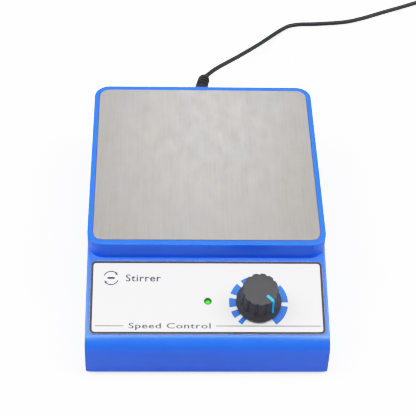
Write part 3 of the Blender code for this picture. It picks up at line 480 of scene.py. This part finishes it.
def panel_matrix():
    """The panel's own frame: X right, Y up the slope, Z out. Its origin is the panel's head."""
    out = Vector(dial_joint()["axis"]).normalized()
    across = Vector((1, 0, 0))
    up = out.cross(across)
    head = Vector(dial_joint()["pos_m"]) + up * KNOB_DOWN
    matrix = Matrix((across, up, out)).transposed().to_4x4()
    matrix.translation = Vector((0, head.y, head.z))
    return matrix


PANEL = panel_matrix()
KNOB_X = dial_joint()["pos_m"][0]
KNOB_FRAME = PANEL @ Matrix.Translation((KNOB_X, -KNOB_DOWN, 0))


def piece(name, mesh, finish, body, place=None):
    """Puts a finished mesh in the scene, riding on its body."""
    if place:
        mesh.transform(place)
    mesh.shade_smooth()
    mesh.set_sharp_from_angle(angle=PIECE_SHARP)
    obj = bpy.data.objects.new(name, mesh)
    bpy.context.scene.collection.objects.link(obj)
    mesh.materials.clear()
    mesh.materials.append(finish)
    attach(obj, body)
    return obj


def lofted(name, rings, start=None, end=None):
    """A skin over rings of points. A ring's ends close with a fan on `start` and `end`."""
    bm = bmesh.new()
    rows = [[bm.verts.new(point) for point in ring] for ring in rings]
    count = len(rings[0])
    for first, second in zip(rows, rows[1:]):
        for i in range(count):
            j = (i + 1) % count
            bm.faces.new((first[i], first[j], second[j], second[i]))
    for row, centre in ((rows[0], start), (rows[-1], end)):
        if centre is not None:
            tip = bm.verts.new(centre)
            for i in range(count):
                bm.faces.new((row[i], tip, row[(i + 1) % count]))
    bmesh.ops.recalc_face_normals(bm, faces=bm.faces)
    mesh = bpy.data.meshes.new(name)
    bm.to_mesh(mesh)
    bm.free()
    return mesh


def middle(ring):
    """The mean of a ring's points."""
    return [sum(point[i] for point in ring) / len(ring) for i in range(3)]


def evaluated_mesh(name, data):
    """A curve or text as a closed mesh."""
    guide = bpy.data.objects.new(name + "_guide", data)
    bpy.context.scene.collection.objects.link(guide)
    shown = guide.evaluated_get(bpy.context.evaluated_depsgraph_get())
    mesh = bpy.data.meshes.new_from_object(shown)
    bpy.data.objects.remove(guide)
    bm = bmesh.new()
    bm.from_mesh(mesh)
    bmesh.ops.remove_doubles(bm, verts=bm.verts, dist=0.0005 * MM)
    bmesh.ops.recalc_face_normals(bm, faces=bm.faces)
    bm.to_mesh(mesh)
    bm.free()
    return mesh


def printed(name, loops, finish):
    """A flat print on the label, from loops of (x, distance down). Inner loops are holes."""
    curve = bpy.data.curves.new(name, "CURVE")
    curve.dimensions = "2D"
    curve.fill_mode = "BOTH"
    curve.extrude = INK / 2
    for loop in loops:
        spline = curve.splines.new("POLY")
        spline.points.add(len(loop) - 1)
        spline.use_cyclic_u = True
        for point, (x, down) in zip(spline.points, loop):
            point.co = (x, -down, 0, 1)
    place = PANEL @ Matrix.Translation((0, 0, LABEL_TOP + INK / 2))
    return piece(name, evaluated_mesh(name, curve), finish, "housing", place)


def arc(centre, radius, start, end, steps):
    """Points of an arc. Angles are in degrees, from +X towards down the slope."""
    turns = [math.radians(start + (end - start) * k / steps) for k in range(steps + 1)]
    return [(centre[0] + radius * math.cos(a), centre[1] + radius * math.sin(a)) for a in turns]


def spot(centre, radius, angle):
    """One point, at an angle and a distance from a centre."""
    return arc(centre, radius, angle, angle, 1)[0]


def rounded_box(left, top, right, bottom, radius, steps=8):
    """A rounded rectangle between distances down the slope."""
    points = []
    corners = ((right, bottom, 0), (left, bottom, 90), (left, top, 180), (right, top, 270))
    for x, y, start in corners:
        inward_x = x - radius if x == right else x + radius
        inward_y = y - radius if y == bottom else y + radius
        points += arc((inward_x, inward_y), radius, start, start + 90, steps)
    return points


# ---------------------------------------------------------------- prints on the label


def label_border():
    width, height = LABEL_SIZE
    loops = []
    for inset in (0.1 * MM, BORDER_WIDTH):
        x = width / 2 - inset
        reach = height / 2 - inset
        top, bottom = LABEL_MIDDLE - reach, LABEL_MIDDLE + reach
        loops.append(rounded_box(-x, top, x, bottom, LABEL_CORNER - inset))
    printed("label_border", loops, ink("border_ink", BORDER_INK))


def dial_marks():
    """Eight ring sectors round the knob, each wider than the last."""
    finish = ink("dial_ink", BLUE_INK, 0.40)
    widths = [FIRST_MARK + MARK_GROWTH * n for n in range(DIAL_MARKS)]
    gap = (DIAL_SWEEP - sum(widths)) / (DIAL_MARKS - 1)
    inner, outer = DIAL_RADII
    centre = (KNOB_X, KNOB_DOWN)
    angle = -DIAL_START  # clockwise is positive here, as distances run down the slope
    for number, width in enumerate(widths, start=1):
        steps = max(3, round(width / 4))
        outside = arc(centre, outer, angle, angle + width, steps)
        inside = arc(centre, inner, angle + width, angle, steps)
        printed(f"dial_mark_{number}", [outside + inside], finish)
        angle += width + gap


def lettering(name, words, box, finish):
    """Words fitted to a box, whose top and bottom bound the capitals."""
    left, right, top, bottom = box
    text = bpy.data.curves.new(name, "FONT")
    text.body = words
    text.size = 1.0
    text.space_character = 1.08
    text.offset = LETTER_WEIGHT
    text.resolution_u = 3  # with more, the heavier outlines cross themselves
    mesh = evaluated_mesh(name, text)
    points = [vertex.co for vertex in mesh.vertices]
    low = min(point.x for point in points)
    high = max(point.x for point in points)
    capital = max(point.y for point in points)
    base = -LETTER_WEIGHT
    for vertex in mesh.vertices:
        x = left + (vertex.co.x - low) / (high - low) * (right - left)
        y = -bottom + (vertex.co.y - base) / (capital - base) * (bottom - top)
        vertex.co = (x, y, 0)
    thicken(mesh)
    place = PANEL @ Matrix.Translation((0, 0, LABEL_TOP))
    return piece(name, mesh, finish, "housing", place)


def thicken(mesh):
    """Makes a flat sheet of faces a closed layer of ink."""
    bm = bmesh.new()
    bm.from_mesh(mesh)
    bmesh.ops.remove_doubles(bm, verts=bm.verts, dist=0.005 * MM)
    bmesh.ops.beautify_fill(bm, faces=bm.faces, edges=bm.edges)  # leaves no slivers
    made = bmesh.ops.extrude_face_region(bm, geom=bm.faces[:])
    raised = [item for item in made["geom"] if isinstance(item, bmesh.types.BMVert)]
    bmesh.ops.translate(bm, vec=(0, 0, INK), verts=raised)
    bmesh.ops.recalc_face_normals(bm, faces=bm.faces)
    bm.to_mesh(mesh)
    bm.free()


def rules():
    """The two thin lines either side of the lower wording."""
    finish = ink("rule_ink", LINE_INK)
    top, bottom = RULE_LINES
    for name, (left, right) in RULES.items():
        printed(name, [rounded_box(left, top, right, bottom, 0.3 * MM, 3)], finish)


def stir_symbol():
    """A plain stirring symbol: a bar between two arrows that go round it."""
    finish = ink("symbol_ink", TEXT_INK)
    for number, start in enumerate(ARROW_STARTS, start=1):
        end = start + ARROW_SWEEP
        loop = arc(SYMBOL_CENTRE, SYMBOL_RADIUS + SYMBOL_LINE / 2, start, end, 14)
        barbs = ((ARROW_HEAD, end - 5), (0, end + 28), (-ARROW_HEAD, end - 5))
        loop += [spot(SYMBOL_CENTRE, SYMBOL_RADIUS + out, angle) for out, angle in barbs]
        loop += arc(SYMBOL_CENTRE, SYMBOL_RADIUS - SYMBOL_LINE / 2, end, start, 14)
        printed(f"symbol_arrow_{number}", [loop], finish)
    (x, y), (long, high) = SYMBOL_CENTRE, SYMBOL_BAR
    bar = rounded_box(x - long, y - high, x + long, y + high, 0.78 * MM, 4)
    printed("symbol_bar", [bar], finish)


def label_prints():
    label_border()
    dial_marks()
    rules()
    stir_symbol()
    dark = ink("title_ink", TEXT_INK)
    lettering("title", "Stirrer", TITLE_BOX, dark)
    soft = ink("caption_ink", srgb(64, 64, 70))
    lettering("caption", "Speed Control", CAPTION_BOX, soft)


# ---------------------------------------------------------------- knob


def flute_depth(offset, radius, strength, half):
    """How deep a flute is cut at an angle away from its middle: a soft-shouldered hollow."""
    across = min(1.0, radius * math.sin(abs(offset)) / half)
    return FLUTE_DEPTH * strength * math.cos(math.pi / 2 * across) ** 1.2


def knob_turns():
    """(angle, offset from the flute's middle, its half width), closest together in the flutes."""
    pitch = 2 * math.pi / FLUTES
    turns = []
    for n in range(FLUTES):
        half = FLUTE_HALF if n else POINTER_FLUTE_HALF
        reach = half / KNOB_TOP_RADIUS * 1.04
        steps = [reach * k / 6 for k in range(-6, 7)]
        land = [reach + (pitch - 2 * reach) * k / 6 for k in range(1, 6)]
        nearer_next = [offset - pitch if offset > pitch / 2 else offset for offset in land]
        turns += [(pitch * n + offset, offset, half) for offset in steps]
        turns += [(pitch * n + place, offset, half) for place, offset in zip(land, nearer_next)]
    return turns


def knob_radius(height):
    """The knob's radius over its ribs: a steep side above a skirt that flares to the foot."""
    low_radius, low = KNOB_LOW
    if height > low:
        share = (KNOB_TOP - height) / (KNOB_TOP - low)
        return KNOB_TOP_RADIUS + (low_radius - KNOB_TOP_RADIUS) * share
    t = min(1.0, (low - height) / (low - SKIRT_EDGE))
    return low_radius + (KNOB_SKIRT - low_radius) * (0.25 * t + 0.75 * t * t)


def knob_profile():
    """(radius, height, flute strength) down the outside of the knob, from its top."""
    low = KNOB_LOW[1]
    profile = [(9.0 * MM, KNOB_TOP, 0.0), (KNOB_TOP_RADIUS - 2 * KNOB_EDGE, KNOB_TOP, 0.0)]
    for k in range(6):
        a = math.pi / 2 * k / 5
        radius = KNOB_TOP_RADIUS - KNOB_EDGE + KNOB_EDGE * math.sin(a)
        strength = 0.35 + 0.65 * math.sin(a)
        profile.append((radius, KNOB_TOP - KNOB_EDGE + KNOB_EDGE * math.cos(a), strength))
    top = KNOB_TOP - KNOB_EDGE
    for k in range(1, 9):
        height = top + (low - top) * k / 8
        profile.append((knob_radius(height), height, 1.0))
    for k in range(1, 13):
        height = low + (SKIRT_EDGE - low) * k / 12
        fading = max(0.0, 1 - (2.2 * k / 12) ** 2)
        profile.append((knob_radius(height), height, math.sqrt(fading)))
    profile += [(KNOB_SKIRT, 1.6 * MM, 0.0), (KNOB_SKIRT - 0.3 * MM, KNOB_FOOT, 0.0)]
    return profile


def speed_knob():
    """The fluted knob, open underneath, with its bore for the shaft."""
    turns = knob_turns()
    rings = []
    for radius, height, strength in knob_profile():
        ring = []
        for angle, offset, half in turns:
            r = radius - flute_depth(offset, radius, strength, half)
            ring.append((r * math.cos(angle), r * math.sin(angle), height))
        rings.append(ring)
    for r, height in KNOB_HOLLOW:
        rings.append([(r * math.cos(turn[0]), r * math.sin(turn[0]), height) for turn in turns])
    mesh = lofted("knob_body", rings, (0, 0, KNOB_TOP), (0, 0, KNOB_BORE_TOP))
    place = KNOB_FRAME @ Matrix.Rotation(POINTER_ANGLE, 4, "Z")
    knob = piece("knob_body", mesh, FINISHES["knob_plastic"], "knob", place)
    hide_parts("speed_knob")


def pointer_path():
    """(radius, height, outward direction) along the pointer, over the top and down the side."""
    low_radius, low = KNOB_LOW
    slope = math.atan2(low_radius - KNOB_TOP_RADIUS, KNOB_TOP - low)
    path = [(POINTER_START + 0.9 * MM * k / 6, KNOB_TOP, math.pi / 2) for k in range(7)]
    for k in range(7):
        a = math.pi / 2 - (math.pi / 2 - slope) * k / 6
        radius = KNOB_TOP_RADIUS - KNOB_EDGE + KNOB_EDGE * math.cos(a)
        path.append((radius, KNOB_TOP - KNOB_EDGE + KNOB_EDGE * math.sin(a), a))
    start = KNOB_TOP - KNOB_EDGE
    for k in range(1, 13):
        height = start + (POINTER_END - start) * math.sin(math.pi / 2 * k / 12)
        path.append((knob_radius(height), height, slope))
    return path


def pointer():
    """The blue line let into the knob: rounded at both ends, a little proud of the plastic."""
    proud, deep = 0.15 * MM, 1.0 * MM
    half_section = ((1, -deep), (1, 0.4 * proud), (0.8, proud))
    section = [*half_section, *((-side, lift) for side, lift in reversed(half_section))]
    path = pointer_path()
    rings = []
    for index, (radius, height, lean) in enumerate(path):
        inner = min(1.0, index / 6)
        outer = min(1.0, (height - POINTER_END) / (0.9 * MM))
        end = min(1 - (1 - inner) ** 2, 1 - (1 - outer) ** 2)
        half = POINTER_WIDTH / 2 * max(0.3, math.sqrt(end))
        rings.append(
            [
                (radius + math.cos(lean) * lift, side * half, height + math.sin(lean) * lift)
                for side, lift in section
            ]
        )
    mesh = lofted("pointer_line", rings, middle(rings[0]), middle(rings[-1]))
    place = KNOB_FRAME @ Matrix.Rotation(POINTER_ANGLE, 4, "Z")
    line = piece("pointer_line", mesh, FINISHES["pointer_blue"], "knob", place)
    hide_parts("knob_pointer")


# ---------------------------------------------------------------- lamp


def lamp():
    """The lens of the lamp, sunk in its hole, with its flange behind the holder."""
    radius = LAMP_RADIUS
    shoulder = -LAMP_SUNK - radius
    profile = []
    for k in range(1, 11):
        a = math.pi / 2 * k / 10
        profile.append((radius * math.sin(a), shoulder + radius * math.cos(a)))
    wider, front, back = LAMP_FLANGE
    profile += [(radius, -front), (radius + wider, -front), (radius + wider, -back)]
    sides = 40
    turns = [2 * math.pi * k / sides for k in range(sides)]
    rings = [[(r * math.cos(a), r * math.sin(a), h) for a in turns] for r, h in profile]
    mesh = lofted("lamp_lens", rings, (0, 0, shoulder + radius), (0, 0, -back))
    place = PANEL @ Matrix.Translation((LAMP[0], -LAMP[1], 0))
    lens = piece("lamp_lens", mesh, FINISHES["led_green"], "housing", place)
    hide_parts("power_led")


# ---------------------------------------------------------------- plug and cord


def swept(name, points, radii, sides):
    """A round body along a path, with a radius for each point."""
    rings = []
    side = Vector((0, 0, 1))
    for i, point in enumerate(points):
        ahead = points[min(i + 1, len(points) - 1)] - points[max(i - 1, 0)]
        along = ahead.normalized()
        side = (side - along * side.dot(along)).normalized()
        other = along.cross(side)
        ring = []
        for k in range(sides):
            a = 2 * math.pi * k / sides
            ring.append(point + (side * math.cos(a) + other * math.sin(a)) * radii[i])
        rings.append(ring)
    return lofted(name, rings, points[0], points[-1])


def hood_root():
    """The middle of the hood's face against the case."""
    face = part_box("dc_plug_hood")[0].y
    neck_low, neck_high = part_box("dc_plug_barrel")
    return Vector(((neck_low.x + neck_high.x) / 2, face, (neck_low.z + neck_high.z) / 2))


def hood_centre(reach):
    """A point on the hood's centre line, which bends over to +X and sags a little."""
    bend = max(0, reach - HOOD_BEND_START) ** 2 / MM
    return hood_root() + Vector((HOOD_BEND * bend, reach, -HOOD_SAG * bend))


def hood_scale(reach):
    """The hood's radius along its length, as a share: grooves near the cord, a rounded tip."""
    scale = 1.0
    for groove in HOOD_GROOVES:
        away = abs(reach - groove) / GROOVE_HALF
        if away < 1:
            scale -= GROOVE_DEPTH * (1 - away**3)
    tip = (reach - HOOD_LENGTH + HOOD_TIP) / HOOD_TIP
    if tip > 0:
        scale *= 0.42 + 0.58 * math.sqrt(max(0, 1 - tip**2.4))
    root = reach / HOOD_ROOT
    if root < 1:
        scale *= 0.9 + 0.1 * math.sqrt(1 - (1 - root) ** 2)
    return scale


def plug_hood():
    """The moulded hood, with three ring grooves near the cord."""
    steps = 150
    thick, thin = HOOD_RADII
    points, radii = [], []
    for k in range(steps + 1):
        reach = HOOD_LENGTH * k / steps
        points.append(hood_centre(reach))
        radii.append(hood_scale(reach) * (thick + (thin - thick) * (k / steps) ** 2))
    mesh = swept("plug_boot", points, radii, 40)
    # Painted highlight: the strong edge lightening here stands in for the glints along the hood's ribs, besides
    # rubbing
    finish = plastic("plug_boot_finish", srgb(13, 14, 16), 0.34, grain=0.3 * MM, wear_and_highlight=0.35)
    boot = piece("plug_boot", mesh, finish, "plug")
    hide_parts("dc_plug_hood")


def flowing(knots, steps):
    """Points of a smooth curve that passes through every knot."""
    ends = [2 * knots[0] - knots[1], *knots, 2 * knots[-1] - knots[-2]]
    points = []
    for a, b, c, d in zip(ends, ends[1:], ends[2:], ends[3:]):
        for k in range(steps):
            t = k / steps
            bend = (2 * a - 5 * b + 4 * c - d) * t * t + (3 * b - a - 3 * c + d) * t**3
            points.append(b + ((c - a) * t + bend) / 2)
    return [*points, knots[-1]]


def power_cord():
    """The cord, from inside the hood's tip down to the bench and away to the right."""
    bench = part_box("foot_rear_left")[0].z
    inside = hood_centre(HOOD_LENGTH - 3 * MM)
    start = hood_centre(HOOD_LENGTH + 0.6 * MM)
    knots = [Vector((x * MM, y * MM, bench + z * MM)) for x, y, z in CORD_FALLING]
    rest = bench + CORD_RADIUS
    knots += [Vector((x * MM, y * MM, rest)) for x, y in CORD_LYING]
    points = flowing([inside, start, *knots], 9)
    for point in points:
        point.z = max(point.z, rest)
    mesh = swept("supply_cord", points, [CORD_RADIUS] * len(points), 24)
    cord = piece("supply_cord", mesh, FINISHES["cord_rubber"], "plug")
    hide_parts("power_cord")


# ---------------------------------------------------------------- stage


def footprint(g):
    """One under the case, where the floor lets light through to the case's underside."""
    low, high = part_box("top_shell")
    at = g.add("SeparateXYZ", {0: g.add("NewGeometry", {}).outputs["Position"]}).outputs
    inside = 1.0
    for axis in (0, 1):
        centre = (low[axis] + high[axis]) / 2
        reach = (high[axis] - low[axis]) / 2 - 2 * MM
        away = g.math("ABSOLUTE", g.math("SUBTRACT", at[axis], centre), 0.0)
        inside = g.math("MULTIPLY", inside, g.math("LESS_THAN", away, reach))
    return inside


def floor():
    """A white sweep. It gives back less light than it shows, so that the fronts stay darker."""
    g = Graph("floor_finish")
    speck = g.spread(g.noise(40 * MM, 3), 0, 1)
    white = g.mix(speck, (0.93, 0.93, 0.93), (0.95, 0.95, 0.95))
    seen = g.seen()
    g.set(Base_Color=g.mix(seen, (0.56, 0.56, 0.57), white), Roughness=0.9)
    g.set(Emission_Color=white, Emission_Strength=g.math("MULTIPLY", seen, 0.75))
    clear = g.add("BsdfTransparent", {}).outputs[0]
    under = g.add("NewGeometry", {}).outputs["Backfacing"]
    under = g.math("MAXIMUM", under, footprint(g))
    surface = g.add("MixShader", {0: under, 1: g.shader.outputs[0], 2: clear})
    g.feed(g.tree.nodes["Material Output"].inputs["Surface"], surface.outputs[0])
    g.set(Specular_IOR_Level=0.1)
    bm = bmesh.new()
    bmesh.ops.create_grid(bm, x_segments=8, y_segments=8, size=FLOOR_SIZE)
    mesh = bpy.data.meshes.new("floor")
    bm.to_mesh(mesh)
    bm.free()
    mesh.materials.append(g.material)
    obj = bpy.data.objects.new("floor", mesh)
    obj.location.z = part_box("foot_rear_left")[0].z
    bpy.context.scene.collection.objects.link(obj)


def soft_light(name, at, size, power):
    """A rectangular lamp that points at the case."""
    light = bpy.data.lights.new(name, "AREA")
    light.shape = "RECTANGLE"
    light.size, light.size_y = size
    light.energy = power
    obj = bpy.data.objects.new(name, light)
    obj.location = at
    aim = Vector(LIGHT_TARGET) - Vector(at)
    obj.rotation_euler = aim.to_track_quat("-Z", "Y").to_euler()
    bpy.context.scene.collection.objects.link(obj)


def daylight():
    """A surround that is bright overhead and behind, and dim behind the camera."""
    world = bpy.data.worlds.new("surround")
    world.use_nodes = True
    tree = world.node_tree
    place = tree.nodes.new("ShaderNodeTexCoord")
    lean = tree.nodes.new("ShaderNodeVectorMath")
    lean.operation = "DOT_PRODUCT"
    lean.inputs[1].default_value = Vector(SKY_LEAN).normalized()
    fade = tree.nodes.new("ShaderNodeMapRange")
    fade.interpolation_type = "SMOOTHSTEP"
    for name, value in zip(("From Min", "From Max", "To Min", "To Max"), SKY_FADE + SKY_RANGE):
        fade.inputs[name].default_value = value
    back = tree.nodes["Background"]
    back.inputs["Color"].default_value = (1, 1, 1, 1)
    tree.links.new(place.outputs["Generated"], lean.inputs[0])
    tree.links.new(lean.outputs["Value"], fade.inputs["Value"])
    tree.links.new(fade.outputs[0], back.inputs["Strength"])
    bpy.context.scene.world = world


def tone():
    """Holds back the brightest tones, as a camera's own response does."""
    view = bpy.context.scene.view_settings
    view.view_transform = "Standard"
    view.use_curve_mapping = True
    mapping = view.curve_mapping
    mapping.white_level = (BRIGHTEST, BRIGHTEST, BRIGHTEST)
    curve = mapping.curves[3]
    curve.points[0].location = (0, 0)
    curve.points[1].location = (1, 1)
    for light, shown in SHOULDER:
        curve.points.new(light / BRIGHTEST, shown)
    mapping.update()


def camera():
    data = bpy.data.cameras.new("camera")
    data.lens = LENS
    data.sensor_width = 36
    data.clip_start = 0.05
    obj = bpy.data.objects.new("camera", data)
    turn = Matrix.Rotation(-CAMERA_YAW, 4, "Z")
    tilt = Matrix.Rotation(math.pi / 2 - CAMERA_PITCH, 4, "X")
    roll = Matrix.Rotation(CAMERA_ROLL, 4, "Z")
    obj.matrix_world = Matrix.Translation(CAMERA_AT) @ turn @ tilt @ roll
    bpy.context.scene.collection.objects.link(obj)
    bpy.context.scene.camera = obj


def stage():
    floor()
    daylight()
    for name, (at, size, power) in LIGHTS.items():
        soft_light(name, at, size, power)
    camera()
    tone()


# ---------------------------------------------------------------- the whole


finish_cad_nodes()
label_prints()
speed_knob()
pointer()
lamp()
plug_hood()
power_cord()
stage()
